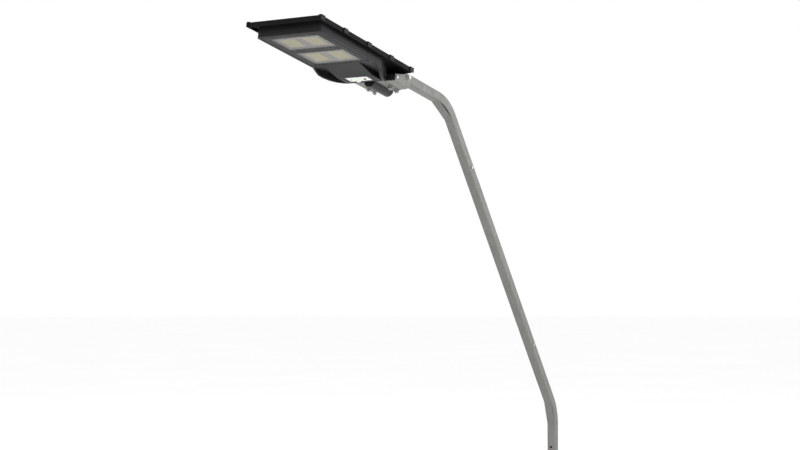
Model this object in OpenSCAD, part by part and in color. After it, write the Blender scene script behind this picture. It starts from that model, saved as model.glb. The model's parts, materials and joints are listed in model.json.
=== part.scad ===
// Solar street lamp on a three-piece square-tube arm.
// Units are millimetres and +Z is up. The origin is midway between the two wall bolt holes, on the
// arm's back face. The arm's centre plane is Y = 0 and the lamp reaches along -X.
// "Head" pieces are drawn in the head frame: X runs back from the lamp's front edge,
// Y across from the lamp's centre line and Z up from the axis of the arm's top section.

/* [Arm] */
// outside width of the square arm tube
tube_w = 30; // [24:1:40]
// wall of the arm tube
tube_t = 2; // [1.5:0.1:3]
// outside corner radius of the arm tube
tube_r = 4; // [2:0.5:6]
// length of the sloping run between the two bend corners
slope_len = 1280; // [900:10:1600]
// angle of the sloping run above horizontal
slope_angle = 52.4; // [40:0.1:65]
// height of the lower bend corner above the tube's foot
foot_len = 300; // [240:10:500]
// centre-line radius of both bends
bend_r = 150; // [110:5:200]
// radius of the crease pressed into the inside of each bend
crease_r = 9; // [6:0.5:12]
// depth of that crease
crease_depth = 5; // [2:0.5:7]
// upper joint, measured down the slope from the upper bend corner
seam_upper = 262; // [200:1:400]
// lower joint, measured down the slope from the upper bend corner
seam_lower = 995; // [700:1:1100]
// length of each inner joining sleeve
sleeve_len = 140; // [100:5:200]
// height of the lower of the two wall bolt holes above the foot
mount_z = 50; // [35:5:80]
// spacing of the two wall bolt holes
mount_pitch = 120; // [80:5:160]
// diameter of the wall bolt holes
mount_d = 8.5; // [6.5:0.5:10.5]

/* [Head position] */
// tilt of the head, front edge up
tilt = 10; // [5:0.5:20]
// distance from the lamp's front edge back to the upper bend corner
reach = 779; // [740:1:900]
// sideways offset of the lamp's centre line from the arm
offset_y = 80; // [78:0.5:95]

/* [Panel] */
// length of the panel frame
panel_l = 499; // [480:1:560]
// width of the panel frame
panel_w = 247; // [240:1:290]
// thickness of the panel frame
frame_t = 14; // [11:0.5:20]
// wall of the frame below its deck
rail_t = 4; // [3:0.5:6]
// thickness of the cover glass
glass_t = 3.2; // [2:0.1:4]

/* [Housing] */
// width of the housing
house_w = 218; // [212:1:232]
// depth of the housing below the frame's deck
house_h = 30.5; // [30:0.5:42]
// wall and floor thickness of the housing
wall = 3; // [2.4:0.1:4]
// how far the belly hangs below the housing floor
belly_h = 16; // [12:0.5:24]
// length of each window's lens
lens_l = 106; // [90:1:110]
// width of each window's lens
lens_w = 165; // [140:1:170]

/* [Bracket] */
// thickness of the bracket plate and its far cheek
plate_t = 3; // [2:0.5:5]
// thickness of the near cheek and the channel's floor
cheek_t = 2; // [1.5:0.5:3]
// outside radius of the half-round saddle
saddle_r = 20; // [16:0.5:26]
// radius of the round spigot that the saddle clamps
spigot_r = 16.7; // [12:0.1:17]
// spacing of the saddle bolts across the lamp
bolt_y = 78; // [70:1:84]
// spacing of the saddle bolts along the lamp
bolt_x = 37; // [30:1:44]

/* [Button] */
// diameter of the push button
button_d = 8; // [6:0.5:12]

/* [Hidden] */
$fn = 48;
// clearance that keeps neighbouring pieces apart without a visible gap
gap = 0.3;
// radial clearance of a running fit
run = 0.05;
// clearance on each side of the bracket's web
slip = 0.1;
washer_t = 1.6;
hex_af = 13;
head_h = 5.3;
// the straight runs reach this far into a bend, whose wall is thicker by skin on both faces
lap = 0.5;
skin = 0.03;
tw = tube_w / 2;
foot_x = -tw;
foot_z = -mount_z - mount_pitch / 2;
hx = foot_x - slope_len * cos(slope_angle);
hz = foot_z + foot_len + slope_len * sin(slope_angle);
turn_low = 90 - slope_angle;
turn_up = slope_angle - tilt;
tan_low = bend_r * tan(turn_low / 2);
tan_up = bend_r * tan(turn_up / 2);
sleeve_w = tube_w - 2 * tube_t - 0.04;
plug_lip = 3;
// joint screw, distance above the seam and radius
screw_up = 14;
screw_r = 2.45;
// arm plane in the head frame
arm_y = -offset_y;
web_y = arm_y + tw + slip;
tube_end = panel_l + 9;
pivot_x = tube_end + 12;
pivot_z = 2;
bolt_d = 8;
// panel levels, down from the frame's top
frame_z1 = 21;
frame_z0 = frame_z1 - frame_t;
deck_z0 = frame_z1 - 7;
floor_z = deck_z0 + 1.5;
glass_z0 = frame_z1 - 0.5 - glass_t;
rim = 9;
// housing levels
seal_t = 1;
house_z1 = deck_z0 - seal_t;
house_z0 = deck_z0 - house_h;
belly_z = house_z0 - belly_h;
house_x0 = 27;
house_x1 = 345;
house_x2 = 446;
stern_w = 132;
house_r = 10;
// windows
lens_t = 2.4;
lens_x = [104, 234];
lens_ledge = 4;
lens_z = house_z0 - 0.4;
// light fields, two side by side behind each window
field_y = 38;
field_l = 66;
field_w = 50;
board_z = house_z0 + wall + 2.2;
board_t = 1.6;
plate_z = board_z + board_t;
heat_t = 2.5;
plate_screw = plate_z - house_z0 - wall - 1.4;
// belly and sensor strip
block_w = 124;
ramp_x0 = 298;
ramp_x1 = 378;
// heat plate's screw positions
post_x = [house_x0 + 20, 169, ramp_x0 - 18];
post_y = 89;
strip_x = 400;
strip_l = 34;
strip_w = 74;
strip_t = 1.2;
dome_r = 9.5;
led_y = 26;
button_y = -22;
button_cap = wall + 1.4;
// tail pad and bracket plate
tail_x1 = 564;
tail_w = 100;
tail_screw_y = 38;
tail_screw_z = -2;
tail_screw_d = 4.9;
pad_z = -tw - 1;
pad_h = 14;
plate_x0 = 462;
plate_x1 = 568;
plate_y1 = offset_y - tw - 3;
saddle_x0 = 460;
ear_t = 4;
ear_y = 48;
clamp_x = 535.5;
nut_h = 6.5;
channel_x0 = house_x2 + 2;
channel_x1 = pivot_x + 14;
channel_z = -29;
web_top = 11;
web_front = -9;
plug_l = 20;
cross_d = 6;
cross_x = channel_x0 + 7;
cross_z = -17.5;
lug_l = 20;
lug_pitch = panel_l / 4;
// batteries
cell_d = 26;
cell_l = 65;
cell_z = house_z0 + wall + cell_d / 2 + 0.5;
cell_x = [319, 346, 373, 400];
spacer_h = 4;

// ---------- shared shapes ----------

module soft_square(w, r) {
    square([w - 2 * r, w], center = true);
    square([w, w - 2 * r], center = true);
    for (sx = [-1, 1])
        for (sy = [-1, 1])
            translate([sx * (w / 2 - r), sy * (w / 2 - r)]) circle(r);
}

module soft_rect(l, w, r) {
    translate([r, -w / 2]) square([l - 2 * r, w]);
    translate([0, -w / 2 + r]) square([l, w - 2 * r]);
    for (x = [r, l - r])
        for (y = [-w / 2 + r, w / 2 - r])
            translate([x, y]) circle(r);
}

module tube_ring() {
    difference() {
        soft_square(tube_w, tube_r);
        soft_square(tube_w - 2 * tube_t, tube_r - tube_t + 0.5);
    }
}

module crush_ring() {
    cx = -tw - crease_r + crease_depth;
    difference() {
        soft_square(tube_w + 2 * skin, tube_r + skin);
        translate([cx, 0]) circle(crease_r);
        difference() {
            soft_square(tube_w - 2 * tube_t - 2 * skin, tube_r - tube_t + 0.5);
            translate([cx, 0]) circle(crease_r + tube_t);
        }
    }
}

// straight run from point p in the arm plane, at angle a above +X
module run_along(p, a, len) {
    translate([p[0], 0, p[1]]) rotate([0, 90 - a, 0]) linear_extrude(len) children();
}

// bend about point c, starting at angle a0
module bend_about(c, a0, turn) {
    translate([c[0], 0, c[1]]) rotate([90, 0, 0]) rotate([0, 0, a0])
        rotate_extrude(angle = turn, $fn = 96) translate([bend_r, 0]) children();
}

function slope_at(d) = [hx + d * cos(slope_angle), hz - d * sin(slope_angle)];

module head() {
    translate([hx, 0, hz]) rotate([0, tilt, 0]) translate([-reach, offset_y, 0]) children();
}

// cylinder along Y, from y0, length l
module rod_y(r, y0, l) {
    translate([0, y0, 0]) rotate([-90, 0, 0]) cylinder(r = r, h = l);
}

module hex_prism(af, h) {
    cylinder(d = af / cos(30), h = h, $fn = 6);
}

// plan outline of the housing, moved in by i
module house_plan(i) {
    hw = house_w / 2 - i;
    sw = stern_w / 2 - i * 0.9;
    x0 = house_x0 + i;
    x2 = house_x2 - i;
    r = house_r - i;
    translate([x0 + r, -hw]) square([house_x1 - x0 - r, 2 * hw]);
    translate([x0, -hw + r]) square([house_x1 - x0, 2 * hw - 2 * r]);
    for (y = [-hw + r, hw - r]) translate([x0 + r, y]) circle(r);
    polygon([
        [house_x1 - 1, -hw], [house_x1, -hw], [x2, -sw],
        [x2, sw], [house_x1, hw], [house_x1 - 1, hw]
    ]);
}

// side profile extruded across the head, y from -w/2 to w/2
module across(w) {
    rotate([90, 0, 0]) translate([0, 0, -w / 2]) linear_extrude(w) children();
}

// ---------- arm ----------

module arm_upper() {
    color("Silver") difference() {
        union() {
            run_along(slope_at(seam_upper - gap), 180 - slope_angle, seam_upper - gap - tan_up + lap)
                tube_ring();
            p = slope_at(tan_up);
            c = [p[0] - bend_r * sin(slope_angle), p[1] - bend_r * cos(slope_angle)];
            bend_about(c, turn_low, turn_up) crush_ring();
            head() translate([tube_end, arm_y, 0]) rotate([0, 90, 0])
                linear_extrude(reach - tan_up - tube_end + lap) tube_ring();
        }
        at_joint_screw(seam_upper - screw_up) rod_y(screw_r + 0.15, -tw - 1, tube_t + 2);
        head() translate([pivot_x, arm_y, pivot_z]) rod_y(bolt_d / 2 + 0.1, -tw - 1, tube_w + 2);
    }
}

module arm_middle() {
    color("Silver") difference() {
        run_along(slope_at(seam_lower - gap), 180 - slope_angle, seam_lower - seam_upper - gap) tube_ring();
        at_joint_screw(seam_lower - screw_up) rod_y(screw_r + 0.15, -tw - 1, tube_t + 2);
    }
}

module arm_lower() {
    color("Silver") difference() {
        union() {
            d = slope_len - tan_low;
            run_along(slope_at(d + lap), 180 - slope_angle, d + lap - seam_lower) tube_ring();
            bend_about([foot_x - bend_r, foot_z + foot_len - tan_low], 0, turn_low) crush_ring();
            translate([foot_x, 0, foot_z + plug_lip])
                linear_extrude(foot_len - tan_low - plug_lip + lap) tube_ring();
        }
        for (z = [mount_z, mount_z + mount_pitch])
            translate([foot_x - tw - 1, 0, foot_z + z]) rotate([0, 90, 0])
                cylinder(d = mount_d, h = tube_w + 2);
    }
}

module at_joint_screw(d) {
    p = slope_at(d);
    translate([p[0], 0, p[1]]) children();
}

module joint_sleeve(seam) {
    color("Gainsboro") difference() {
        run_along(slope_at(seam + sleeve_len / 2), 180 - slope_angle, sleeve_len) difference() {
            soft_square(sleeve_w, tube_r - tube_t + 0.5);
            soft_square(sleeve_w - 2 * tube_t, 1);
        }
        at_joint_screw(seam - screw_up) rod_y(screw_r, -tw, tube_w / 2);
    }
}

module joint_screw(seam) {
    at_joint_screw(seam - screw_up) {
        rod_y(screw_r, -tw - 0.05, tube_t * 2 + 1);
        rod_y(5.5, -tw - 3.2, 3.2);
    }
}

module joint_screws() {
    color("LightGray") {
        joint_screw(seam_upper);
        joint_screw(seam_lower);
    }
}

module foot_plug() {
    color("DimGray") translate([foot_x, 0, foot_z]) {
        linear_extrude(plug_lip) soft_square(tube_w, tube_r);
        translate([0, 0, plug_lip]) linear_extrude(16) difference() {
            soft_square(sleeve_w, tube_r - tube_t + 0.5);
            soft_square(sleeve_w - 5, 1);
        }
    }
}

// ---------- tilt hinge ----------

module pivot_bolt() {
    y0 = -tw - cheek_t - 2 * slip - washer_t;
    color("Gainsboro") head() translate([pivot_x, arm_y, pivot_z]) {
        rod_y(bolt_d / 2, y0, tw + plate_t + 10 - y0);
        translate([0, y0, 0]) rotate([90, 0, 0]) hex_prism(hex_af, head_h);
    }
}

module pivot_washers() {
    color("LightGray") head() translate([pivot_x, arm_y, pivot_z]) {
        washer(-tw - cheek_t - 2 * slip - washer_t);
        washer(tw + plate_t + 2 * slip);
    }
}

module washer(y0) {
    difference() {
        rod_y(8.5, y0, washer_t);
        rod_y(bolt_d / 2 + 0.1, y0 - 1, 4);
    }
}

module pivot_nut() {
    y0 = arm_y + tw + plate_t + 2 * slip + washer_t;
    color("Gainsboro") head() translate([pivot_x, y0, pivot_z]) difference() {
        rotate([-90, 0, 0]) hex_prism(hex_af, nut_h);
        rod_y(bolt_d / 2 + 0.01, -1, nut_h + 2);
    }
}

// ---------- bracket ----------

// side profile of a cheek, back to x1 above the plate and down to z0 in the channel
module cheek_profile(x1, z0) {
    polygon([
        [channel_x0, z0], [channel_x0, web_front], [pivot_x, web_top], [x1, web_top],
        [x1, pad_z - plate_t], [channel_x1, pad_z - plate_t], [channel_x1, z0]
    ]);
}

// side profile drawn in X and Z, extruded along Y from y0
module slab_y(y0, l) {
    translate([0, y0 + l, 0]) rotate([90, 0, 0]) linear_extrude(l) children();
}

module bracket() {
    color("Silver") head() difference() {
        union() {
            translate([plate_x0, web_y, pad_z - plate_t])
                cube([plate_x1 - plate_x0, plate_y1 - web_y, plate_t]);
            slab_y(web_y, plate_t) cheek_profile(plate_x1 - 12, channel_z + cheek_t);
        }
        translate([saddle_x0 + 8, -spigot_r - 1, pad_z - plate_t - 1])
            cube([200, 2 * spigot_r + 2, plate_t + 2]);
        for (x = [-1, 1])
            for (y = [-1, 1])
                translate([clamp_x + x * bolt_x / 2, y * bolt_y / 2, pad_z - plate_t - 1])
                    cylinder(d = bolt_d + 0.6, h = plate_t + 2);
        translate([pivot_x, web_y, pivot_z]) rod_y(bolt_d / 2 + run, -1, plate_t + 2);
        translate([cross_x, web_y, cross_z]) rod_y(cross_d / 2 + run, -1, plate_t + 2);
    }
}

// near cheek with the channel's floor, an angle that hooks under the bracket's far cheek
module bracket_cheek() {
    y0 = arm_y - tw - slip - cheek_t;
    color("Silver") head() difference() {
        union() {
            slab_y(y0, cheek_t) polygon([
                [channel_x0, channel_z], [channel_x0, web_front], [pivot_x, web_top],
                [channel_x1, web_top], [channel_x1, channel_z]
            ]);
            translate([channel_x0, y0, channel_z])
                cube([channel_x1 - channel_x0, web_y + plate_t - y0, cheek_t]);
        }
        translate([pivot_x, y0, pivot_z]) rod_y(bolt_d / 2 + run, -1, cheek_t + 2);
        translate([cross_x, y0, cross_z]) rod_y(cross_d / 2 + run, -1, cheek_t + 2);
    }
}

module channel_plug() {
    y0 = arm_y - tw - slip + run;
    l = tube_w + 2 * slip - 2 * run;
    z0 = channel_z + cheek_t;
    h = web_front - 0.5 - z0;
    color([0.08, 0.08, 0.08]) head() difference() {
        union() {
            translate([channel_x0 + 1, y0, z0]) cube([plug_l, l, h]);
            for (k = [0 : 5])
                translate([channel_x0 - 0.5, y0 + 1.2 + k * (l - 4.4) / 5, z0]) cube([2, 2, h]);
        }
        translate([cross_x, y0, cross_z]) rod_y(cross_d / 2 + run, -1, l + 2);
    }
}

module channel_bolt() {
    y0 = arm_y - tw - slip - cheek_t;
    color("Gainsboro") head() translate([cross_x, 0, cross_z]) {
        rod_y(cross_d / 2, y0, web_y + plate_t + 6.5 - y0);
        translate([0, y0, 0]) rotate([90, 0, 0]) hex_prism(10, 4);
    }
}

module channel_nut() {
    color("Gainsboro") head() translate([cross_x, web_y + plate_t, cross_z]) difference() {
        rotate([-90, 0, 0]) hex_prism(10, 5);
        rod_y(cross_d / 2 + 0.01, -1, 7);
    }
}

// round socket between the tail and the saddle
module spigot_bore() {
    translate([saddle_x0 + 8, 0, pad_z - plate_t / 2]) rotate([0, 90, 0]) cylinder(r = spigot_r, h = 200);
}

module saddle() {
    color([0.12, 0.12, 0.13]) head() difference() {
        union() {
            translate([saddle_x0, -ear_y, pad_z - plate_t - ear_t])
                cube([plate_x1 - saddle_x0 - 6, 2 * ear_y, ear_t]);
            intersection() {
                translate([saddle_x0, 0, pad_z - plate_t]) rotate([0, 90, 0])
                    cylinder(r = saddle_r, h = plate_x1 - saddle_x0);
                translate([saddle_x0, -saddle_r, pad_z - plate_t - saddle_r])
                    cube([plate_x1 - saddle_x0, 2 * saddle_r, saddle_r]);
            }
        }
        spigot_bore();
        for (x = [-1, 1])
            for (y = [-1, 1])
                translate([clamp_x + x * bolt_x / 2, y * bolt_y / 2, pad_z - plate_t - ear_t - 1])
                    cylinder(d = bolt_d + 0.6, h = ear_t + 2);
    }
}

module at_clamp_bolts() {
    head() for (x = [-1, 1])
        for (y = [-1, 1])
            translate([clamp_x + x * bolt_x / 2, y * bolt_y / 2, pad_z]) children();
}

module clamp_bolts() {
    color("Gainsboro") at_clamp_bolts() {
        translate([0, 0, -plate_t - ear_t - nut_h - washer_t - 3])
            cylinder(d = bolt_d, h = plate_t + ear_t + nut_h + washer_t + 3 + pad_h);
        translate([0, 0, pad_h]) hex_prism(hex_af, head_h);
    }
}

module clamp_washers() {
    color("LightGray") at_clamp_bolts() translate([0, 0, -plate_t - ear_t - washer_t]) difference() {
        cylinder(r = 8, h = washer_t);
        translate([0, 0, -1]) cylinder(d = bolt_d + 0.2, h = 4);
    }
}

module clamp_nuts() {
    color("Gainsboro") at_clamp_bolts() translate([0, 0, -plate_t - ear_t - washer_t - nut_h]) difference() {
        hex_prism(hex_af, nut_h);
        translate([0, 0, -1]) cylinder(d = bolt_d + 0.02, h = nut_h + 2);
    }
}

// ---------- housing ----------

module block_profile(i) {
    z0 = house_z0 + wall - (i > 0 ? 0 : 0.01);
    polygon([
        [ramp_x0 + 3 * i, z0], [ramp_x0 + 3 * i, house_z0 + 0.2 * i], [ramp_x1 + i * 0.4, belly_z + i],
        [house_x2 - 20 - i * 0.4, belly_z + i], [house_x2 - i, belly_z + 5 + i], [house_x2 - i, z0]
    ]);
}

module skirt_profile() {
    polygon([
        [312, house_z0 + 1], [318, house_z0 - 2], [330, house_z0 - 8], [346, house_z0 - 14],
        [362, belly_z - 2], [384, belly_z - 4], [406, belly_z - 3.5], [430, belly_z],
        [house_x2, belly_z + 4], [house_x2 + 1, house_z0 + 1]
    ]);
}

module housing() {
    color([0.2, 0.2, 0.21]) head() {
        difference() {
            union() {
                translate([0, 0, house_z0]) linear_extrude(house_z1 - house_z0) house_plan(0);
                across(block_w) block_profile(0);
                intersection() {
                    across(house_w) skirt_profile();
                    translate([0, 0, belly_z - 6]) linear_extrude(belly_h + 8) difference() {
                        house_plan(0);
                        house_plan(7);
                    }
                }
            }
            translate([0, 0, house_z0 + wall]) linear_extrude(house_h) house_plan(wall);
            across(block_w - 2 * wall) block_profile(wall);
            for (x = lens_x) {
                translate([x - lens_l / 2 + lens_ledge, -lens_w / 2 + lens_ledge, house_z0 - 1])
                    cube([lens_l - 2 * lens_ledge, lens_w - 2 * lens_ledge, wall + 2]);
                translate([x - lens_l / 2 - gap, -lens_w / 2 - gap, house_z0 - 1])
                    cube([lens_l + 2 * gap, lens_w + 2 * gap, 1 + lens_t]);
            }
            translate([0, 0, house_z0 - 1]) linear_extrude(2.2) difference() {
                house_groove(7);
                house_groove(10);
            }
            strip_pocket();
            tail_screw_holes();
        }
        front_ribs();
    }
}

module house_groove(i) {
    x0 = house_x0 + i;
    translate([x0, -house_w / 2 + i]) square([ramp_x0 - 8 - x0 - i + 10, house_w - 2 * i]);
}

module front_ribs() {
    for (k = [0 : 4])
        translate([house_x0 - 1.2, -house_w / 2 + house_r, house_z0 + 6 + 5 * k])
            cube([2, house_w - 2 * house_r, 2]);
}

module strip_pocket() {
    translate([strip_x - strip_l / 2 - 0.2, -strip_w / 2 - 0.2, belly_z - 1])
        cube([strip_l + 0.4, strip_w + 0.4, 1.5]);
    translate([strip_x, 0, belly_z - 1]) cylinder(r = dome_r - 2, h = wall + 3);
    translate([strip_x, led_y, belly_z - 1]) cylinder(r = 3.2, h = wall + 3);
    translate([strip_x, button_y, belly_z - 1]) cylinder(r = button_d / 2 + run, h = wall + 3);
}

module tail_screw_holes() {
    for (y = [-tail_screw_y, tail_screw_y])
        translate([house_x2 - wall - 1, y, tail_screw_z]) rotate([0, 90, 0])
            cylinder(d = tail_screw_d + 2 * run, h = wall + 2);
}

module house_seal() {
    color("Black") head() translate([0, 0, house_z1]) linear_extrude(seal_t) difference() {
        house_plan(0.4);
        house_plan(wall);
    }
}

module tail() {
    color([0.1, 0.1, 0.11]) head() difference() {
        union() {
            translate([house_x2, -tail_w / 2, pad_z]) cube([tail_x1 - house_x2, tail_w, pad_h]);
            translate([house_x2, -tail_w / 2, pad_z]) cube([10, tail_w, house_z1 - pad_z]);
            for (x = [house_x2 + 14 : 8 : plate_x0 + 40])
                for (s = [-1, 1])
                    translate([x, s * (tail_w / 2 + 1) - 1.5, pad_z + 1]) cube([4, 3, 12]);
            translate([house_x2, -tail_w / 2 + 12, pad_z]) cube([48, tail_w - 24, house_z1 - pad_z]);
            translate([house_x2, -spigot_r - 5, pad_z])
                cube([tail_x1 - house_x2, 2 * spigot_r + 10, spigot_r + 3]);
        }
        spigot_bore();
        for (x = [-1, 1])
            for (y = [-1, 1])
                translate([clamp_x + x * bolt_x / 2, y * bolt_y / 2, pad_z - 1])
                    cylinder(d = bolt_d + 0.6, h = 60);
        for (y = [-tail_screw_y, tail_screw_y])
            translate([house_x2 - 1, y, tail_screw_z]) rotate([0, 90, 0]) cylinder(d = tail_screw_d, h = 9);
    }
}

module tail_screws() {
    color("LightGray") head() for (y = [-tail_screw_y, tail_screw_y])
        translate([house_x2 - wall - 3, y, tail_screw_z]) rotate([0, 90, 0]) {
            cylinder(d = tail_screw_d, h = wall + 3 + 8);
            cylinder(d = 9, h = 3);
        }
}

// ---------- windows ----------

module lens(x) {
    color([0.85, 0.88, 0.9, 0.5]) head() translate([x - lens_l / 2, -lens_w / 2, lens_z])
        cube([lens_l, lens_w, lens_t]);
}

module lens_gasket(x) {
    color("Black") head() translate([x, 0, lens_z + lens_t]) linear_extrude(0.4) difference() {
        square([lens_l, lens_w], center = true);
        square([lens_l - 2 * lens_ledge, lens_w - 2 * lens_ledge], center = true);
    }
}

// white tray round the light fields
module reflector(x) {
    z0 = house_z0 + wall;
    color("WhiteSmoke") head() difference() {
        translate([x - lens_l / 2, -lens_w / 2, z0]) cube([lens_l, lens_w, board_z - z0]);
        translate([x - lens_l / 2 + lens_ledge + 1, -lens_w / 2 + lens_ledge + 1, z0 - 1])
            cube([lens_l - 2 * lens_ledge - 2, lens_w - 2 * lens_ledge - 2, board_z - z0 - 0.8 + 1]);
        for (y = [-1, 1])
            translate([x - field_l / 2 - 3, y * field_y - field_w / 2 - 3, z0 - 1])
                cube([field_l + 6, field_w + 6, 20]);
    }
}

module led_board(x) {
    color([0.9, 0.9, 0.88]) head() translate([x - lens_l / 2, -lens_w / 2, board_z])
        cube([lens_l, lens_w, board_t]);
}

module led_fields(x) {
    color([0.95, 0.87, 0.5]) head() for (y = [-1, 1])
        translate([x - field_l / 2, y * field_y - field_w / 2, board_z - 1.2]) cube([field_l, field_w, 1.2]);
}

module heat_plate() {
    color("DarkGray") head() difference() {
        translate([house_x0 + 14, -94, plate_z]) cube([ramp_x0 - 12 - house_x0 - 14, 188, heat_t]);
        for (x = post_x)
            for (y = [-post_y, post_y])
                translate([x, y, plate_z - 1]) cylinder(d = 3.4, h = 6);
    }
}

module heat_plate_posts() {
    color([0.2, 0.2, 0.21]) head() for (x = post_x)
        for (y = [-post_y, post_y])
            translate([x, y, house_z0 + wall]) difference() {
                cylinder(d = 8, h = plate_z - house_z0 - wall);
                translate([0, 0, 1.2]) cylinder(d = 2.92, h = 30);
            }
}

module heat_plate_screws() {
    color("LightGray") head() for (x = post_x)
        for (y = [-post_y, post_y])
            translate([x, y, plate_z - plate_screw]) {
                cylinder(d = 2.9, h = plate_screw + heat_t);
                translate([0, 0, plate_screw + heat_t]) cylinder(d = 6, h = 2);
            }
}

// ---------- power ----------

module battery_cells() {
    color([0.2, 0.35, 0.55]) head() for (x = cell_x)
        for (s = [-1, 1])
            translate([x, s * (cell_l / 2 + 1.5), cell_z]) rotate([90, 0, 0])
                cylinder(d = cell_d, h = cell_l, center = true);
}

module battery_cradle() {
    color([0.3, 0.3, 0.3]) head() difference() {
        translate([304, -50, house_z0 + wall]) cube([111, 100, 10]);
        translate([300, -40, house_z0]) cube([120, 80, 20]);
        for (x = cell_x)
            translate([x, 0, cell_z]) rotate([90, 0, 0]) cylinder(d = cell_d + 0.04, h = 200, center = true);
    }
}

module battery_strips() {
    color("Gainsboro") head() for (s = [-1, 1])
        translate([cell_x[0] - 6, s > 0 ? cell_l + 1.5 : -cell_l - 1.8, cell_z - 4])
            cube([cell_x[3] - cell_x[0] + 12, 0.3, 8]);
}

module battery_bridge() {
    color("Gainsboro") head() translate([cell_x[0] - 6, -1.5, cell_z - 4])
        cube([cell_x[3] - cell_x[0] + 12, 3, 8]);
}

module controller_board() {
    color([0.1, 0.4, 0.2]) head() translate([180, -60, plate_z + heat_t + spacer_h])
        cube([90, 70, board_t]);
}

module board_spacers() {
    color("White") head() for (x = [186, 264])
        for (y = [-54, 4])
            translate([x, y, plate_z + heat_t]) cylinder(d = 5, h = spacer_h);
}

module controller_parts() {
    z = plate_z + heat_t + spacer_h + board_t;
    color([0.15, 0.15, 0.17]) head() {
        translate([200, -40, z]) cylinder(d = 14, h = 6.5);
        translate([222, -40, z]) cylinder(d = 8, h = 7);
        translate([234, -40, z]) cylinder(d = 8, h = 7);
        translate([198, -14, z]) cube([16, 10, 3]);
        translate([225, -18, z]) cube([10, 10, 1.6]);
        translate([258, -50, z]) cube([8, 50, 6]);
    }
}

// ---------- sensor ----------

module sensor_strip() {
    color("White") head() difference() {
        translate([strip_x - strip_l / 2, -strip_w / 2, belly_z - strip_t + 0.5])
            cube([strip_l, strip_w, strip_t]);
        translate([strip_x, 0, belly_z - 3]) cylinder(r = dome_r - 2, h = 6);
        translate([strip_x, led_y, belly_z - 3]) cylinder(r = 3.2, h = 6);
        translate([strip_x, button_y, belly_z - 3]) cylinder(r = button_d / 2 + run, h = 6);
    }
}

module motion_dome() {
    color([0.95, 0.95, 0.93]) head() translate([strip_x, 0, belly_z - strip_t + 0.5]) {
        difference() {
            sphere(dome_r);
            sphere(dome_r - 1);
            translate([-2 * dome_r, -2 * dome_r, 0]) cube([4 * dome_r, 4 * dome_r, 2 * dome_r]);
        }
        difference() {
            union() {
                translate([0, 0, -0.8]) cylinder(r = dome_r - 0.5, h = 0.8);
                cylinder(r = dome_r - 2 - run, h = strip_t + wall - 0.8);
            }
            translate([0, 0, -2]) cylinder(r = dome_r - 3.4, h = 10);
        }
    }
}

module sensor_board() {
    color([0.1, 0.4, 0.2]) head() difference() {
        translate([strip_x - 12, -34, belly_z + wall + 0.2]) cube([24, 66, 1.2]);
        translate([strip_x, button_y, belly_z]) cylinder(d = 3.4, h = 10);
    }
}

module motion_sensor() {
    color("Silver") head() translate([strip_x, 0, belly_z + wall + 0.2 - 3.8]) {
        cylinder(d = 8.2, h = 3.8);
        cylinder(d = 9.2, h = 0.6);
    }
}

module status_light() {
    color([0.2, 0.9, 0.3]) head() translate([strip_x, led_y, belly_z - strip_t + 0.2])
        cylinder(r = 3.15, h = wall + strip_t);
}

module push_button() {
    color([0.08, 0.08, 0.08]) head() translate([strip_x, button_y, belly_z - strip_t - 1.6]) {
        cylinder(r = button_d / 2, h = button_cap);
        translate([0, 0, button_cap]) cylinder(d = 3.2, h = 4.9);
    }
}

// ---------- panel ----------

module panel_frame() {
    color([0.12, 0.12, 0.13]) head() {
        difference() {
            translate([0, 0, frame_z0]) linear_extrude(frame_t) soft_rect(panel_l, panel_w, 5);
            translate([rail_t, -panel_w / 2 + rail_t, frame_z0 - 1])
                cube([panel_l - 2 * rail_t, panel_w - 2 * rail_t, deck_z0 - frame_z0 + 1]);
            translate([rim, -panel_w / 2 + rim, floor_z]) cube([panel_l - 2 * rim, panel_w - 2 * rim, 20]);
            for (s = [-1, 1])
                for (x = [150, 330])
                    translate([x, s * 40 - 4, deck_z0 - 1]) cube([8, 8, 20]);
        }
        for (s = [-1, 1])
            for (x = [house_x2 + 14 : 9 : panel_l - rail_t - 6])
                translate([x, s > 0 ? 54 : -panel_w / 2 + 1, deck_z0 - 4]) cube([2.5, panel_w / 2 - 55, 4.5]);
    }
}

module frame_lugs() {
    color([0.1, 0.1, 0.11]) head() for (k = [0 : 4])
        for (s = [-1, 1]) {
            x0 = k * lug_pitch - (k == 0 ? 2.5 : (k == 4 ? lug_l - 2.5 : lug_l / 2));
            y0 = s > 0 ? panel_w / 2 - 8 : -panel_w / 2 - 3;
            translate([x0, y0, frame_z1]) cube([lug_l, 11, 1.4]);
            translate([x0, s > 0 ? panel_w / 2 : -panel_w / 2 - 3, frame_z0 + 1])
                cube([lug_l, 3, frame_t + 0.4]);
        }
}

module back_sheet() {
    color("White") head() translate([rim + 0.3, -panel_w / 2 + rim + 0.3, floor_z])
        cube([panel_l - 2 * rim - 0.6, panel_w - 2 * rim - 0.6, 0.5]);
}

module solar_cells() {
    n = 6;
    m = 3;
    cw = (panel_l - 2 * rim - 20) / n;
    ch = (panel_w - 2 * rim - 14) / m;
    color([0.05, 0.08, 0.2]) head() for (i = [0 : n - 1])
        for (j = [0 : m - 1])
            translate([rim + 10 + i * cw + 1, -panel_w / 2 + rim + 7 + j * ch + 1, floor_z + 0.5])
                cube([cw - 2, ch - 2, glass_z0 - floor_z - 0.5]);
}

module panel_glass() {
    color([0.5, 0.6, 0.8, 0.5]) head() translate([rim + 0.3, -panel_w / 2 + rim + 0.3, glass_z0])
        cube([panel_l - 2 * rim - 0.6, panel_w - 2 * rim - 0.6, glass_t]);
}

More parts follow.
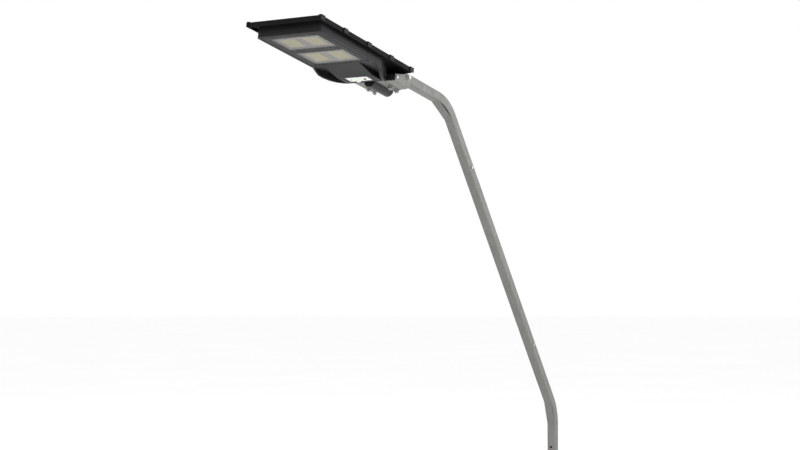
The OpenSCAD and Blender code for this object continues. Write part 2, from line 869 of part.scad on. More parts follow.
arm_upper();
arm_middle();
arm_lower();
joint_sleeve(seam_upper);  // joint_sleeve_upper
joint_sleeve(seam_lower);  // joint_sleeve_lower
joint_screws();
foot_plug();
pivot_bolt();
pivot_washers();
pivot_nut();
bracket();
bracket_cheek();
channel_plug();
channel_bolt();
channel_nut();
saddle();
clamp_bolts();
clamp_washers();
clamp_nuts();
housing();
house_seal();
tail();
tail_screws();
lens(lens_x[0]);  // lens_front
lens(lens_x[1]);  // lens_rear
lens_gasket(lens_x[0]);  // lens_gasket_front
lens_gasket(lens_x[1]);  // lens_gasket_rear
reflector(lens_x[0]);  // reflector_front
reflector(lens_x[1]);  // reflector_rear
led_board(lens_x[0]);  // led_board_front
led_board(lens_x[1]);  // led_board_rear
led_fields(lens_x[0]);  // led_fields_front
led_fields(lens_x[1]);  // led_fields_rear
heat_plate();
heat_plate_posts();
heat_plate_screws();
battery_cells();
battery_cradle();
battery_strips();
battery_bridge();
controller_board();
board_spacers();
controller_parts();
sensor_strip();
motion_dome();
sensor_board();
motion_sensor();
status_light();
push_button();
panel_frame();
frame_lugs();
back_sheet();
solar_cells();
panel_glass();
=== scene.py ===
import json
import math

import bpy
from mathutils import Matrix, Vector


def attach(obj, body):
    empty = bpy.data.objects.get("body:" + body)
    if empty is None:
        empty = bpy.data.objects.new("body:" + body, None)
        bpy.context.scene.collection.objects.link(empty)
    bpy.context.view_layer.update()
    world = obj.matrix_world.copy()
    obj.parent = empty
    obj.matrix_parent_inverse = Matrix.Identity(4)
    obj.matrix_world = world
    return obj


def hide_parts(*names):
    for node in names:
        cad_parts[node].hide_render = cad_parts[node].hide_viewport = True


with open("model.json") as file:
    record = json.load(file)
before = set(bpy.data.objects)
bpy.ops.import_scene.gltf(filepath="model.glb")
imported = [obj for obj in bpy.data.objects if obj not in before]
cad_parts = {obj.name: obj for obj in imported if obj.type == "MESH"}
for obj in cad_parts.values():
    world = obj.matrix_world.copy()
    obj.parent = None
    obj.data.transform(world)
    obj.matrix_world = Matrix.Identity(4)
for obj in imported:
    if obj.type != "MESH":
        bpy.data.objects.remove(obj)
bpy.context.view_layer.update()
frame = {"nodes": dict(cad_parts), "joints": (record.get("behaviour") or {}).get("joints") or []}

bl_info = {
    "name": "Solar Street Lamp",
    "version": (1, 0, 0),
    "blender": (4, 5, 0),
    "location": "3D View > Sidebar > Street Lamp",
    "description": "Finishes and fine detail for a solar street lamp on a square-tube arm",
    "category": "Object",
}

MM = 0.001

# The head is drawn level, with X running back from the lamp's front edge, Y across from its centre
# line and Z up from the axis of the arm's top section. This matrix stands it on its pivot, tilted.
TILT = math.radians(10)
PIVOT = Vector(next(j["pos_m"] for j in frame["joints"] if j["name"] == "tilt"))
PIVOT_IN_HEAD = Vector((520, -80, 2)) * MM
HEAD = Matrix.Translation(PIVOT) @ Matrix.Rotation(TILT, 4, "Y") @ Matrix.Translation(-PIVOT_IN_HEAD)

# Levels and places in the head, in millimetres.
WINDOW_X = (104, 234)
FIELD_Y = 38
FIELD_L, FIELD_W, FIELD_T = 66, 50, 1.2
FIELD_TOP = -11.3

# Each light chip's height, the gap round it, the rim of its case and how deep its face is sunk.
CHIP_H, CHIP_GAP, CHIP_RIM, CHIP_SUNK = 0.7, 0.5, 0.4, 0.15

# Half width of the saddle's half-round, outside which its ears lie.
SADDLE_R = 20.5

# Middle of the status light's nose on the sensor strip, its radius and how far it stands proud.
LIGHT_AT = Vector((400, 26, -33.4))
LIGHT_R, NOSE_H = 3.1, 2.6

# The arm in millimetres: the tube, its bends' centre-line radius, the sloping run between the bend
# corners, and the foot's place and height up to the lower corner.
TUBE_W, BEND_R = 30, 150
SLOPE_LEN, SLOPE_ANGLE = 1280, math.radians(52.4)
FOOT_X, FOOT_Z, FOOT_LEN = -TUBE_W / 2, -110, 300

# Flat wall across the inside of each bend.
WALL_T, WALL_W = 2.2, TUBE_W - 4

# The stage in metres.
AIM = Vector((-1.0, 0.0, 1.15))
FLOOR_R, FLOOR_Z = 40, -0.112
LIGHTS = (
    # name, place, disc size, power in watts
    ("Key", (-3.0, -4.5, 3.2), 3.0, 90),
    ("Fill", (-4.5, 3.0, 2.0), 3.0, 20),
    ("Low", (-1.5, -2.6, 0.1), 1.6, 10),
    ("Side", (2.4, -2.0, 1.5), 2.0, 16),
)
CAMERA_AT = (-5.0724, -2.3905, 0.6079)
CAMERA_LOOK = Vector((0.8577, 0.5123, 0.0427))
CAMERA_LENS, CAMERA_SENSOR = 70.4, 36


# ---------- sizes and colours a user may change ----------


class LampSizes(bpy.types.PropertyGroup):
    edge_metal: bpy.props.FloatProperty(
        name="Metal edge", description="Round on the edges of sheet and cast metal, in mm",
        default=0.5, min=0.1, max=1.5,
    )
    edge_plastic: bpy.props.FloatProperty(
        name="Plastic edge", description="Round on the edges of moulded pieces, in mm",
        default=0.9, min=0.1, max=2.0,
    )
    chips_along: bpy.props.IntProperty(
        name="Chips along", description="Light chips along one field", default=9, min=3, max=16
    )
    chips_across: bpy.props.IntProperty(
        name="Chips across", description="Light chips across one field", default=7, min=3, max=14
    )


class LampColours(bpy.types.PropertyGroup):
    steel: bpy.props.FloatVectorProperty(
        name="Galvanised steel", description="Colour of the arm", subtype="COLOR", size=3,
        default=(0.165, 0.165, 0.155),
    )
    black: bpy.props.FloatVectorProperty(
        name="Housing", description="Colour of the moulded housing", subtype="COLOR", size=3,
        default=(0.008, 0.008, 0.009),
    )
    phosphor: bpy.props.FloatVectorProperty(
        name="Phosphor", description="Colour of the unlit light chips", subtype="COLOR", size=3,
        default=(0.5, 0.41, 0.16),
    )
    indicator: bpy.props.FloatVectorProperty(
        name="Status light", description="Colour of the lit status light", subtype="COLOR", size=3,
        default=(0.01, 0.55, 0.06),
    )


# ---------- node helpers ----------


def add(tree, kind, **values):
    """One node; values with a socket's name set that input, and others set the node's own fields."""
    item = tree.nodes.new(kind)
    for key, value in values.items():
        if key in item.inputs:
            item.inputs[key].default_value = value
        else:
            setattr(item, key, value)
    return item


def new_group(name, inputs, outputs):
    group = bpy.data.node_groups.new(name, "ShaderNodeTree")
    for label, kind, default in inputs:
        socket = group.interface.new_socket(label, in_out="INPUT", socket_type=kind)
        if default is not None:
            socket.default_value = default
    for label, kind in outputs:
        group.interface.new_socket(label, in_out="OUTPUT", socket_type=kind)
    return group, add(group, "NodeGroupInput"), add(group, "NodeGroupOutput")


def grain_group():
    """Fine moulded or cast texture: a height and a slow patchy mask."""
    group, start, end = new_group(
        "Surface Grain",
        [
            ("Vector", "NodeSocketVector", None),
            ("Fine", "NodeSocketFloat", 900.0),
            ("Patch", "NodeSocketFloat", 12.0),
        ],
        [("Height", "NodeSocketFloat"), ("Mask", "NodeSocketFloat")],
    )
    link = group.links.new
    fine = add(group, "ShaderNodeTexNoise", Detail=4.0, Roughness=0.6)
    patch = add(group, "ShaderNodeTexNoise", Detail=6.0, Roughness=0.65)
    spread = add(group, "ShaderNodeMapRange", **{"From Min": 0.35, "From Max": 0.68})
    link(start.outputs["Vector"], fine.inputs["Vector"])
    link(start.outputs["Fine"], fine.inputs["Scale"])
    link(start.outputs["Vector"], patch.inputs["Vector"])
    link(start.outputs["Patch"], patch.inputs["Scale"])
    link(patch.outputs["Fac"], spread.inputs["Value"])
    link(fine.outputs["Fac"], end.inputs["Height"])
    link(spread.outputs["Result"], end.inputs["Mask"])
    return group


def spangle_group():
    """Zinc crystals on galvanised steel: a tone for each crystal and a height."""
    group, start, end = new_group(
        "Zinc Spangle",
        [("Vector", "NodeSocketVector", None), ("Size", "NodeSocketFloat", 120.0)],
        [("Tone", "NodeSocketFloat"), ("Height", "NodeSocketFloat")],
    )
    link = group.links.new
    warp = add(group, "ShaderNodeTexNoise", Scale=45.0, Detail=3.0)
    shift = add(group, "ShaderNodeMixRGB", blend_type="LINEAR_LIGHT", Fac=0.015)
    crystal = add(group, "ShaderNodeTexVoronoi", feature="F1")
    tone = add(group, "ShaderNodeSeparateColor")
    cloud = add(group, "ShaderNodeTexNoise", Scale=9.0, Detail=7.0, Roughness=0.62)
    blend = add(group, "ShaderNodeMath", operation="MULTIPLY_ADD")
    blend.inputs[1].default_value = 0.38
    spread = add(group, "ShaderNodeMapRange", **{"From Min": 0.2, "From Max": 0.95})
    fine = add(group, "ShaderNodeTexNoise", Scale=700.0, Detail=3.0)
    link(start.outputs["Vector"], warp.inputs["Vector"])
    link(start.outputs["Vector"], shift.inputs["Color1"])
    link(warp.outputs["Color"], shift.inputs["Color2"])
    link(shift.outputs["Color"], crystal.inputs["Vector"])
    link(start.outputs["Size"], crystal.inputs["Scale"])
    link(crystal.outputs["Color"], tone.inputs["Color"])
    link(start.outputs["Vector"], cloud.inputs["Vector"])
    link(tone.outputs["Red"], blend.inputs[0])
    link(cloud.outputs["Fac"], blend.inputs[2])
    link(blend.outputs["Value"], spread.inputs["Value"])
    link(start.outputs["Vector"], fine.inputs["Vector"])
    link(spread.outputs["Result"], end.inputs["Tone"])
    link(fine.outputs["Fac"], end.inputs["Height"])
    return group


GROUPS = {}


def group(name):
    makers = {"grain": grain_group, "spangle": spangle_group}
    if name not in GROUPS:
        GROUPS[name] = makers[name]()
    return GROUPS[name]


def new_material(name, **shader):
    material = bpy.data.materials.new(name)
    material.use_nodes = True
    tree = material.node_tree
    bsdf = tree.nodes["Principled BSDF"]
    for key, value in shader.items():
        bsdf.inputs[key.replace("_", " ")].default_value = value
    return material, tree, bsdf, add(tree, "ShaderNodeTexCoord")


def between(tree, mask, low, high):
    """A colour that goes from low to high with the mask."""
    mix = add(tree, "ShaderNodeMixRGB", Color1=(*low, 1), Color2=(*high, 1))
    tree.links.new(mask, mix.inputs["Fac"])
    return mix.outputs["Color"]


def from_to(tree, mask, low, high):
    """A value that goes from low to high with the mask."""
    spread = add(tree, "ShaderNodeMapRange", **{"To Min": low, "To Max": high})
    tree.links.new(mask, spread.inputs["Value"])
    return spread.outputs["Result"]


def bumped(tree, bsdf, height, strength, distance):
    bump = add(tree, "ShaderNodeBump", Strength=strength, Distance=distance)
    tree.links.new(height, bump.inputs["Height"])
    tree.links.new(bump.outputs["Normal"], bsdf.inputs["Normal"])


def moulded(name, low, high, rough=(0.4, 0.55), fine=900, patch=10, depth=0.00012, strength=0.35, **shader):
    """Plastic, rubber or paint with a fine grain and a slow change of tone and gloss."""
    material, tree, bsdf, coords = new_material(name, **shader)
    grain = add(tree, "ShaderNodeGroup", node_tree=group("grain"), Fine=float(fine), Patch=float(patch))
    tree.links.new(coords.outputs["Object"], grain.inputs["Vector"])
    tree.links.new(between(tree, grain.outputs["Mask"], low, high), bsdf.inputs["Base Color"])
    tree.links.new(from_to(tree, grain.outputs["Mask"], *rough), bsdf.inputs["Roughness"])
    bumped(tree, bsdf, grain.outputs["Height"], strength, depth)
    return material


def spangled(name, low, high, rough, size, metallic, depth=0.00008):
    """Galvanised or plated steel with zinc crystals."""
    material, tree, bsdf, coords = new_material(name, Metallic=metallic)
    zinc = add(tree, "ShaderNodeGroup", node_tree=group("spangle"), Size=float(size))
    tree.links.new(coords.outputs["Object"], zinc.inputs["Vector"])
    tree.links.new(between(tree, zinc.outputs["Tone"], low, high), bsdf.inputs["Base Color"])
    tree.links.new(from_to(tree, zinc.outputs["Tone"], *rough), bsdf.inputs["Roughness"])
    bumped(tree, bsdf, zinc.outputs["Height"], 0.25, depth)
    return material


def scaled(colour, factor):
    return tuple(min(1.0, c * factor) for c in colour)


def galvanised():
    c = bpy.context.scene.lamp_colours.steel
    return spangled("Galvanised steel", scaled(c, 0.88), scaled(c, 1.12), (0.6, 0.45), 130, 0.35)


def sheet_steel():
    return spangled("Zinc sheet", (0.14, 0.14, 0.128), (0.2, 0.2, 0.183), (0.55, 0.42), 160, 0.4)


def bright_zinc():
    return spangled("Bright zinc", (0.3, 0.3, 0.29), (0.46, 0.46, 0.44), (0.4, 0.26), 400, 0.8)


def housing_black():
    c = bpy.context.scene.lamp_colours.black
    return moulded(
        "Housing black", scaled(c, 0.8), scaled(c, 1.3), (0.4, 0.55), 1100, 9, Specular_IOR_Level=0.2
    )


def tail_black():
    return moulded(
        "Tail black", (0.008, 0.008, 0.009), (0.014, 0.014, 0.015), (0.45, 0.6), 900, 14,
        Specular_IOR_Level=0.2,
    )


def cast_black():
    return moulded(
        "Powder coat", (0.01, 0.01, 0.011), (0.018, 0.018, 0.019), (0.36, 0.5), 650, 16, depth=0.0002,
        Specular_IOR_Level=0.3,
    )


def frame_black():
    return moulded(
        "Anodised black", (0.003, 0.003, 0.0035), (0.006, 0.006, 0.0065), (0.5, 0.65), 1500, 20,
        Specular_IOR_Level=0.08,
    )


def seal_rubber():
    return moulded("Rubber", (0.012, 0.012, 0.012), (0.022, 0.022, 0.022), (0.6, 0.8), 700, 25)


def reflector_silver():
    return moulded("Reflector", (0.16, 0.135, 0.12), (0.24, 0.21, 0.19), (0.3, 0.42), 500, 18, Metallic=0.5)


def board_white():
    return moulded("Light board", (0.2, 0.19, 0.17), (0.28, 0.27, 0.25), (0.45, 0.55), 800, 30)


def phosphor():
    c = bpy.context.scene.lamp_colours.phosphor
    return moulded("Phosphor", scaled(c, 0.88), scaled(c, 1.08), (0.35, 0.5), 1500, 60)


def chip_case():
    return moulded("Chip case", (0.42, 0.39, 0.28), (0.52, 0.49, 0.37), (0.45, 0.55), 1500, 60)


def lens_clear():
    material, tree, bsdf, coords = new_material(
        "Window", Transmission_Weight=1.0, IOR=1.1, Roughness=0.03, Base_Color=(0.93, 0.95, 0.97, 1)
    )
    haze = add(tree, "ShaderNodeTexNoise", Scale=40.0, Detail=5.0)
    tree.links.new(coords.outputs["Object"], haze.inputs["Vector"])
    tree.links.new(from_to(tree, haze.outputs["Fac"], 0.02, 0.07), bsdf.inputs["Roughness"])
    return material


def cover_glass():
    material, tree, bsdf, coords = new_material(
        "Cover glass", Transmission_Weight=1.0, IOR=1.5, Roughness=0.08, Base_Color=(0.86, 0.92, 0.97, 1)
    )
    dimple = add(tree, "ShaderNodeTexVoronoi", Scale=650.0)
    tree.links.new(coords.outputs["Object"], dimple.inputs["Vector"])
    bumped(tree, bsdf, dimple.outputs["Distance"], 0.12, 0.0002)
    return material


def silicon():
    """Cell with fine silver fingers, laid out in the head's own axes."""
    material, tree, bsdf, coords = new_material("Solar cell", Roughness=0.28, Coat_Weight=0.4)
    level = add(tree, "ShaderNodeMapping", vector_type="POINT")
    level.inputs["Rotation"].default_value = (0, -TILT, 0)
    lines = add(tree, "ShaderNodeTexWave", wave_type="BANDS", bands_direction="X", Scale=130.0)
    thin = add(tree, "ShaderNodeMapRange", **{"From Min": 0.9, "From Max": 0.97})
    cloud = add(tree, "ShaderNodeTexNoise", Scale=22.0, Detail=4.0)
    link = tree.links.new
    link(coords.outputs["Object"], level.inputs["Vector"])
    link(level.outputs["Vector"], lines.inputs["Vector"])
    link(lines.outputs["Fac"], thin.inputs["Value"])
    link(coords.outputs["Object"], cloud.inputs["Vector"])
    base = between(tree, cloud.outputs["Fac"], (0.004, 0.007, 0.03), (0.01, 0.016, 0.06))
    mix = add(tree, "ShaderNodeMixRGB", Color2=(0.16, 0.18, 0.24, 1))
    link(thin.outputs["Result"], mix.inputs["Fac"])
    link(base, mix.inputs["Color1"])
    link(mix.outputs["Color"], bsdf.inputs["Base Color"])
    return material


def strip_white():
    return moulded("White strip", (0.78, 0.78, 0.76), (0.86, 0.86, 0.84), (0.35, 0.5), 900, 30)


def dome_white():
    return moulded(
        "Sensor dome", (0.74, 0.74, 0.71), (0.84, 0.84, 0.81), (0.3, 0.42), 500, 40, Subsurface_Weight=0.3,
        Subsurface_Scale=0.002,
    )


def status_green():
    c = bpy.context.scene.lamp_colours.indicator
    material = moulded(
        "Status light", scaled(c, 0.8), scaled(c, 1.1), (0.4, 0.5), 300, 60, Specular_IOR_Level=0.1
    )
    bsdf = material.node_tree.nodes["Principled BSDF"]
    bsdf.inputs["Emission Color"].default_value = (*c, 1)
    bsdf.inputs["Emission Strength"].default_value = 1.0
    return material


def button_black():
    return moulded("Button", (0.012, 0.012, 0.012), (0.02, 0.02, 0.02), (0.5, 0.65), 900, 60)


def sheet_white():
    return moulded("Back sheet", (0.7, 0.7, 0.68), (0.8, 0.8, 0.78), (0.5, 0.6), 600, 14)


def heat_aluminium():
    return moulded(
        "Rolled aluminium", (0.55, 0.55, 0.56), (0.66, 0.66, 0.67), (0.3, 0.45), 400, 20, Metallic=0.95
    )


def cell_wrap():
    return moulded("Battery wrap", (0.03, 0.1, 0.26), (0.05, 0.14, 0.34), (0.25, 0.35), 500, 20)


def board_green():
    return moulded("Circuit board", (0.01, 0.09, 0.03), (0.02, 0.13, 0.05), (0.3, 0.4), 700, 60)


def component_black():
    return moulded("Component", (0.015, 0.015, 0.017), (0.03, 0.03, 0.033), (0.35, 0.5), 900, 60)


def ribbon():
    return moulded(
        "Tinned ribbon", (0.55, 0.56, 0.58), (0.68, 0.69, 0.71), (0.25, 0.4), 900, 60, Metallic=0.9
    )


FINISHES = {}


def finish(maker):
    if maker.__name__ not in FINISHES:
        FINISHES[maker.__name__] = maker()
    return FINISHES[maker.__name__]


# ---------- shape helpers ----------


def only(obj):
    """Nothing but obj is selected, and it is active."""
    bpy.ops.object.select_all(action="DESELECT")
    obj.select_set(True)
    bpy.context.view_layer.objects.active = obj


def edit(obj):
    only(obj)
    bpy.ops.object.mode_set(mode="EDIT")


def leave():
    bpy.ops.object.mode_set(mode="OBJECT")


def apply_modifier(obj, kind, **fields):
    only(obj)
    modifier = obj.modifiers.new(kind.title(), kind)
    for key, value in fields.items():
        setattr(modifier, key, value)
    bpy.ops.object.modifier_apply(modifier=modifier.name)


def soft_edges(obj, width, segments=2, angle=35):
    apply_modifier(
        obj, "BEVEL", width=width * MM, segments=segments, limit_method="ANGLE",
        angle_limit=math.radians(angle), use_clamp_overlap=True, harden_normals=False,
    )
    only(obj)
    bpy.ops.object.shade_smooth_by_angle(angle=math.radians(30))
    apply_modifier(obj, "WEIGHTED_NORMAL", keep_sharp=True)


def settle(obj, name, matrix=None):
    """Puts obj's place, turn and size into its mesh and names it."""
    if matrix is not None:
        obj.matrix_world = matrix @ obj.matrix_world
    only(obj)
    bpy.ops.object.transform_apply(location=True, rotation=True, scale=True)
    obj.name = name
    obj.data.name = name


def merged_copy(node, name, whole=True):
    """A merged copy of a CAD node's mesh; whole also joins the triangles of its flat faces."""
    source = frame["nodes"][node]
    obj = bpy.data.objects.new(name, source.data.copy())
    obj.data.name = name
    obj.data.materials.clear()
    bpy.context.scene.collection.objects.link(obj)
    edit(obj)
    bpy.ops.mesh.select_all(action="SELECT")
    bpy.ops.mesh.remove_doubles(threshold=0.00001)
    if whole:
        bpy.ops.mesh.dissolve_limited(angle_limit=math.radians(0.4))
    leave()
    return obj


def refined(node, name, maker, body, width, segments=2, angle=35, whole=True):
    """A CAD node's shape with rounded edges and its own finish."""
    obj = merged_copy(node, name, whole)
    soft_edges(obj, width, segments, angle)
    obj.data.materials.append(finish(maker))
    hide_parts(node)
    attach(obj, body)
    return obj


def painted(node, maker):
    """A CAD node that keeps its shape and gets a better finish."""
    data = frame["nodes"][node]
    for place in data.material_slots:
        place.material = finish(maker)


# ---------- operators ----------


class LAMP_OT_arm(bpy.types.Operator):
    """Rounds and finishes the three arm tubes, their sleeves, screws and plug"""

    bl_idname = "lamp.arm"
    bl_label = "Arm"

    def execute(self, context):
        tubes = {
            node: refined(node, node + "_tube", galvanised, "arm", 0.3, 1, 60)
            for node in ("arm_upper", "arm_middle", "arm_lower")
        }
        for node, centre, middle, turn in self.bends():
            self.bend_wall(tubes[node], centre, middle, turn)
        for node in ("joint_sleeve_upper", "joint_sleeve_lower"):
            painted(node, sheet_steel)
        refined("joint_screws", "joint_screw_heads", bright_zinc, "arm", 1.2, 3)
        refined("foot_plug", "foot_plug_cap", seal_rubber, "arm", 0.8)
        return {"FINISHED"}

    def bends(self):
        """Each bent tube's node with its bend's centre, middle angle and turn."""
        low, high = math.pi / 2 - SLOPE_ANGLE, SLOPE_ANGLE - TILT
        along = Vector((math.cos(SLOPE_ANGLE), 0, -math.sin(SLOPE_ANGLE)))
        inward = Vector((math.sin(SLOPE_ANGLE), 0, math.cos(SLOPE_ANGLE)))
        lower_corner = Vector((FOOT_X, 0, FOOT_Z + FOOT_LEN))
        upper_corner = lower_corner - SLOPE_LEN * along
        upper = upper_corner + BEND_R * math.tan(high / 2) * along - BEND_R * inward
        lower = lower_corner - Vector((BEND_R, 0, BEND_R * math.tan(low / 2)))
        return ("arm_upper", upper, low + high / 2, high), ("arm_lower", lower, low / 2, low)

    def bend_wall(self, tube, centre, middle, turn):
        """The flat wall pulled straight across the inside of a bend, joined to its tube."""
        inner_r = BEND_R - TUBE_W / 2
        half = inner_r * math.sin(turn / 2)
        out = inner_r * math.cos(turn / 2) + WALL_T / 2
        bpy.ops.object.select_all(action="DESELECT")
        bpy.ops.mesh.primitive_cube_add(size=1)
        wall = bpy.context.object
        bpy.ops.object.mode_set(mode="EDIT")
        bpy.ops.mesh.select_all(action="SELECT")
        bpy.ops.transform.resize(value=(WALL_T * MM, WALL_W * MM, 2 * half * MM))
        leave()
        for corner in wall.data.vertices:
            if corner.co.x > 0:
                corner.co.z *= 1 - WALL_T / math.tan(turn / 2) / half
        place = (centre + out * Vector((math.cos(middle), 0, math.sin(middle)))) * MM
        settle(wall, "bend_wall", Matrix.Translation(place) @ Matrix.Rotation(-middle, 4, "Y"))
        soft_edges(wall, 0.4, 2)
        wall.data.materials.append(finish(galvanised))
        only(tube)
        wall.select_set(True)
        bpy.ops.object.join()


class LAMP_OT_hinge(bpy.types.Operator):
    """Finishes the pivot bolt, its nut and its washers"""

    bl_idname = "lamp.hinge"
    bl_label = "Tilt hinge"

    def execute(self, context):
        for node in ("pivot_bolt", "pivot_nut"):
            refined(node, node + "_plated", bright_zinc, "arm", 0.7, 2)
        refined("pivot_washers", "pivot_washers_plated", bright_zinc, "arm", 0.25, 1)
        return {"FINISHED"}


class LAMP_OT_bracket(bpy.types.Operator):
    """Finishes the bracket plate, the half-round saddle and its fasteners"""

    bl_idname = "lamp.bracket"
    bl_label = "Bracket"

    def execute(self, context):
        size = context.scene.lamp_sizes
        refined("bracket", "bracket_plate", sheet_steel, "head", size.edge_metal)
        refined("bracket_cheek", "bracket_cheek_plate", sheet_steel, "head", size.edge_metal)
        refined("channel_plug", "channel_plug_block", tail_black, "head", 0.6)
        refined("channel_bolt", "channel_bolt_plated", bright_zinc, "head", 0.6)
        refined("channel_nut", "channel_nut_plated", bright_zinc, "head", 0.6)
        self.steel_ears(refined("saddle", "saddle_casting", cast_black, "head", 1.2, 3))
        refined("clamp_bolts", "clamp_bolts_plated", bright_zinc, "head", 0.7)
        refined("clamp_nuts", "clamp_nuts_plated", bright_zinc, "head", 0.7)
        refined("clamp_washers", "clamp_washers_plated", bright_zinc, "head", 0.25, 1)
        return {"FINISHED"}

    def steel_ears(self, saddle):
        """The ears are bare plated steel and only the half-round between them is painted."""
        saddle.data.materials.append(finish(sheet_steel))
        to_head = HEAD.inverted()
        for face in saddle.data.polygons:
            if abs((to_head @ face.center).y) > SADDLE_R * MM:
                face.material_index = 1


class LAMP_OT_housing(bpy.types.Operator):
    """Finishes the moulded housing, its seal and the tail block"""

    bl_idname = "lamp.housing"
    bl_label = "Housing"

    def execute(self, context):
        size = context.scene.lamp_sizes
        refined("housing", "housing_shell", housing_black, "head", size.edge_plastic, 2, whole=False)
        refined("tail", "tail_block", tail_black, "head", size.edge_plastic)
        refined("tail_screws", "tail_screws_plated", bright_zinc, "head", 0.5)
        painted("house_seal", seal_rubber)
        return {"FINISHED"}


class LAMP_OT_windows(bpy.types.Operator):
    """Models the light chips and finishes the windows and reflectors"""

    bl_idname = "lamp.windows"
    bl_label = "Windows"

    def execute(self, context):
        size = context.scene.lamp_sizes
        for where, x in zip(("front", "rear"), WINDOW_X):
            field = self.chip_fields("light_field_" + where, x, size.chips_along, size.chips_across)
            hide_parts("led_fields_" + where)
            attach(field, "head")
            refined("lens_" + where, "window_" + where, lens_clear, "head", 0.3, 2)
            painted("lens_gasket_" + where, seal_rubber)
            refined("reflector_" + where, "reflector_tray_" + where, reflector_silver, "head", 0.3, 1)
            painted("led_board_" + where, board_white)
        return {"FINISHED"}

    def chip_fields(self, name, x, along, across):
        """Two boards side by side, each with raised chips that have a sunk phosphor face."""
        halves = [self.one_field(x, side * FIELD_Y, along, across) for side in (-1, 1)]
        only(halves[0])
        halves[1].select_set(True)
        bpy.ops.object.join()
        field = halves[0]
        settle(field, name, HEAD)
        return field

    def one_field(self, x, y, along, across):
        level = FIELD_TOP - FIELD_T + CHIP_H
        bpy.ops.object.select_all(action="DESELECT")
        bpy.ops.mesh.primitive_grid_add(
            x_subdivisions=along, y_subdivisions=across, size=MM, location=(x * MM, y * MM, level * MM)
        )
        obj = bpy.context.object
        obj.scale = (FIELD_L, FIELD_W, 1)
        bpy.ops.object.transform_apply(location=False, rotation=False, scale=True)
        obj.data.materials.append(finish(board_white))
        obj.data.materials.append(finish(chip_case))
        obj.data.materials.append(finish(phosphor))
        bpy.ops.object.mode_set(mode="EDIT")
        bpy.ops.mesh.select_all(action="SELECT")
        bpy.ops.mesh.flip_normals()
        bpy.ops.mesh.inset(thickness=CHIP_GAP * MM, depth=0, use_individual=True)
        obj.active_material_index = 1
        bpy.ops.object.material_slot_assign()
        bpy.ops.mesh.extrude_region_move(TRANSFORM_OT_translate={"value": (0, 0, -(CHIP_H - 0.02) * MM)})
        bpy.ops.mesh.inset(thickness=CHIP_RIM * MM, depth=-CHIP_SUNK * MM, use_individual=True)
        obj.active_material_index = 2
        bpy.ops.object.material_slot_assign()
        leave()
        apply_modifier(obj, "SOLIDIFY", thickness=(FIELD_T - CHIP_H) * MM, offset=-1)
        return obj


class LAMP_OT_sensor(bpy.types.Operator):
    """Finishes the sensor strip, the dome, the status light and the push button"""

    bl_idname = "lamp.sensor"
    bl_label = "Sensor strip"

    def execute(self, context):
        refined("sensor_strip", "sensor_strip_trim", strip_white, "head", 0.3)
        refined("motion_dome", "motion_dome_lens", dome_white, "head", 0.2, 1)
        self.status_lens()
        refined("push_button", "push_button_cap", button_black, "button", 0.08, 1)
        painted("sensor_board", board_green)
        painted("motion_sensor", bright_zinc)
        return {"FINISHED"}

    def status_lens(self):
        """The light's body with a domed nose that stands proud of the strip."""
        body = merged_copy("status_light", "status_light_lens")
        bpy.ops.object.select_all(action="DESELECT")
        bpy.ops.mesh.primitive_uv_sphere_add(segments=32, ring_count=16, radius=LIGHT_R * MM)
        nose = bpy.context.object
        bpy.ops.object.mode_set(mode="EDIT")
        bpy.ops.mesh.select_all(action="SELECT")
        bpy.ops.mesh.bisect(plane_co=(0, 0, 0), plane_no=(0, 0, 1), clear_outer=True, use_fill=True)
        bpy.ops.mesh.select_all(action="SELECT")
        bpy.ops.transform.resize(value=(1, 1, NOSE_H / LIGHT_R))
        leave()
        settle(nose, "nose", HEAD @ Matrix.Translation(LIGHT_AT * MM))
        only(body)
        nose.select_set(True)
        bpy.ops.object.join()
        body.data.materials.append(finish(status_green))
        only(body)
        bpy.ops.object.shade_smooth_by_angle(angle=math.radians(30))
        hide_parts("status_light")
        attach(body, "head")


class LAMP_OT_panel(bpy.types.Operator):
    """Finishes the panel frame, lugs, glass, cells and back sheet"""

    bl_idname = "lamp.panel"
    bl_label = "Solar panel"

    def execute(self, context):
        size = context.scene.lamp_sizes
        refined("panel_frame", "panel_frame_profile", frame_black, "head", size.edge_metal)
        refined("frame_lugs", "frame_lug_caps", tail_black, "head", 0.6)
        refined("panel_glass", "panel_glass_sheet", cover_glass, "head", 0.3, 1)
        refined("solar_cells", "solar_cell_wafers", silicon, "head", 0.3, 1)
        painted("back_sheet", sheet_white)
        return {"FINISHED"}


class LAMP_OT_inside(bpy.types.Operator):
    """Finishes the battery, controller and heat plate inside the housing"""

    bl_idname = "lamp.inside"
    bl_label = "Inner pieces"

    def execute(self, context):
        finishes = {
            "heat_plate": heat_aluminium,
            "heat_plate_posts": housing_black,
            "heat_plate_screws": bright_zinc,
            "battery_cells": cell_wrap,
            "battery_cradle": component_black,
            "battery_strips": ribbon,
            "battery_bridge": ribbon,
            "controller_board": board_green,
            "board_spacers": strip_white,
            "controller_parts": component_black,
        }
        for node, maker in finishes.items():
            painted(node, maker)
        return {"FINISHED"}


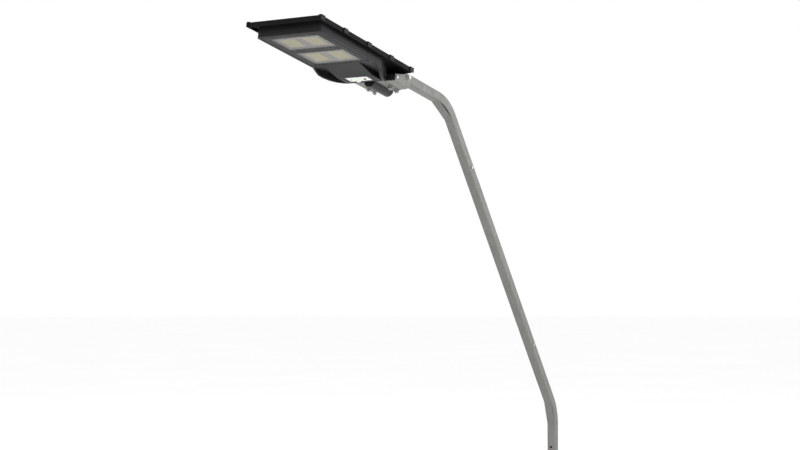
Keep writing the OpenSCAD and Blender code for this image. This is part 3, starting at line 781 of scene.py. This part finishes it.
class LAMP_OT_stage(bpy.types.Operator):
    """Sets the floor, the soft lights and the camera"""

    bl_idname = "lamp.stage"
    bl_label = "Stage"

    def execute(self, context):
        self.floor()
        self.world(context.scene)
        for name, place, size, power in LIGHTS:
            self.light(name, place, size, power)
        self.camera(context.scene)
        return {"FINISHED"}

    def floor(self):
        bpy.ops.object.select_all(action="DESELECT")
        bpy.ops.mesh.primitive_circle_add(
            vertices=96, radius=FLOOR_R, fill_type="NGON", location=(0, 0, FLOOR_Z)
        )
        obj = bpy.context.object
        settle(obj, "floor")
        pale = moulded(
            "Floor", (0.96, 0.96, 0.96), (0.98, 0.98, 0.98), (0.85, 0.95), 60, 1, depth=0.0001
        )
        obj.data.materials.append(pale)

    def world(self, scene):
        world = bpy.data.worlds.new("Studio")
        world.use_nodes = True
        scene.world = world
        shade = world.node_tree.nodes["Background"]
        shade.inputs["Color"].default_value = (1, 1, 1, 1)
        shade.inputs["Strength"].default_value = 1.0
        scene.view_settings.view_transform = "Standard"

    def light(self, name, place, size, power):
        data = bpy.data.lights.new(name, "AREA")
        data.shape = "DISK"
        data.size = size
        data.energy = power
        obj = bpy.data.objects.new(name, data)
        obj.location = place
        obj.rotation_euler = (AIM - Vector(place)).to_track_quat("-Z", "Y").to_euler()
        bpy.context.scene.collection.objects.link(obj)

    def camera(self, scene):
        data = bpy.data.cameras.new("Camera")
        data.lens = CAMERA_LENS
        data.sensor_width = CAMERA_SENSOR
        data.clip_end = 200
        obj = bpy.data.objects.new("Camera", data)
        obj.location = CAMERA_AT
        obj.rotation_euler = CAMERA_LOOK.to_track_quat("-Z", "Y").to_euler()
        scene.collection.objects.link(obj)
        scene.camera = obj


class LAMP_PT_sidebar(bpy.types.Panel):
    """Lists the steps that finish the lamp"""

    bl_idname = "LAMP_PT_sidebar"
    bl_label = "Street Lamp"
    bl_space_type = "VIEW_3D"
    bl_region_type = "UI"
    bl_category = "Street Lamp"

    def draw(self, context):
        column = self.layout.column()
        for group_name in ("lamp_sizes", "lamp_colours"):
            values = getattr(context.scene, group_name)
            for name in values.bl_rna.properties.keys():
                if name not in ("rna_type", "name"):
                    column.prop(values, name)
        for step in STEPS:
            column.operator(step.bl_idname)


STEPS = (
    LAMP_OT_arm, LAMP_OT_hinge, LAMP_OT_bracket, LAMP_OT_housing, LAMP_OT_windows, LAMP_OT_sensor,
    LAMP_OT_panel, LAMP_OT_inside, LAMP_OT_stage,
)
CLASSES = (LampSizes, LampColours, *STEPS, LAMP_PT_sidebar)


def register():
    for item in CLASSES:
        bpy.utils.register_class(item)
    bpy.types.Scene.lamp_sizes = bpy.props.PointerProperty(type=LampSizes)
    bpy.types.Scene.lamp_colours = bpy.props.PointerProperty(type=LampColours)


def unregister():
    del bpy.types.Scene.lamp_colours
    del bpy.types.Scene.lamp_sizes
    for item in reversed(CLASSES):
        bpy.utils.unregister_class(item)


def main():
    register()
    bpy.ops.lamp.arm()
    bpy.ops.lamp.hinge()
    bpy.ops.lamp.bracket()
    bpy.ops.lamp.housing()
    bpy.ops.lamp.windows()
    bpy.ops.lamp.sensor()
    bpy.ops.lamp.panel()
    bpy.ops.lamp.inside()
    bpy.ops.lamp.stage()


if __name__ == "__main__":
    main()
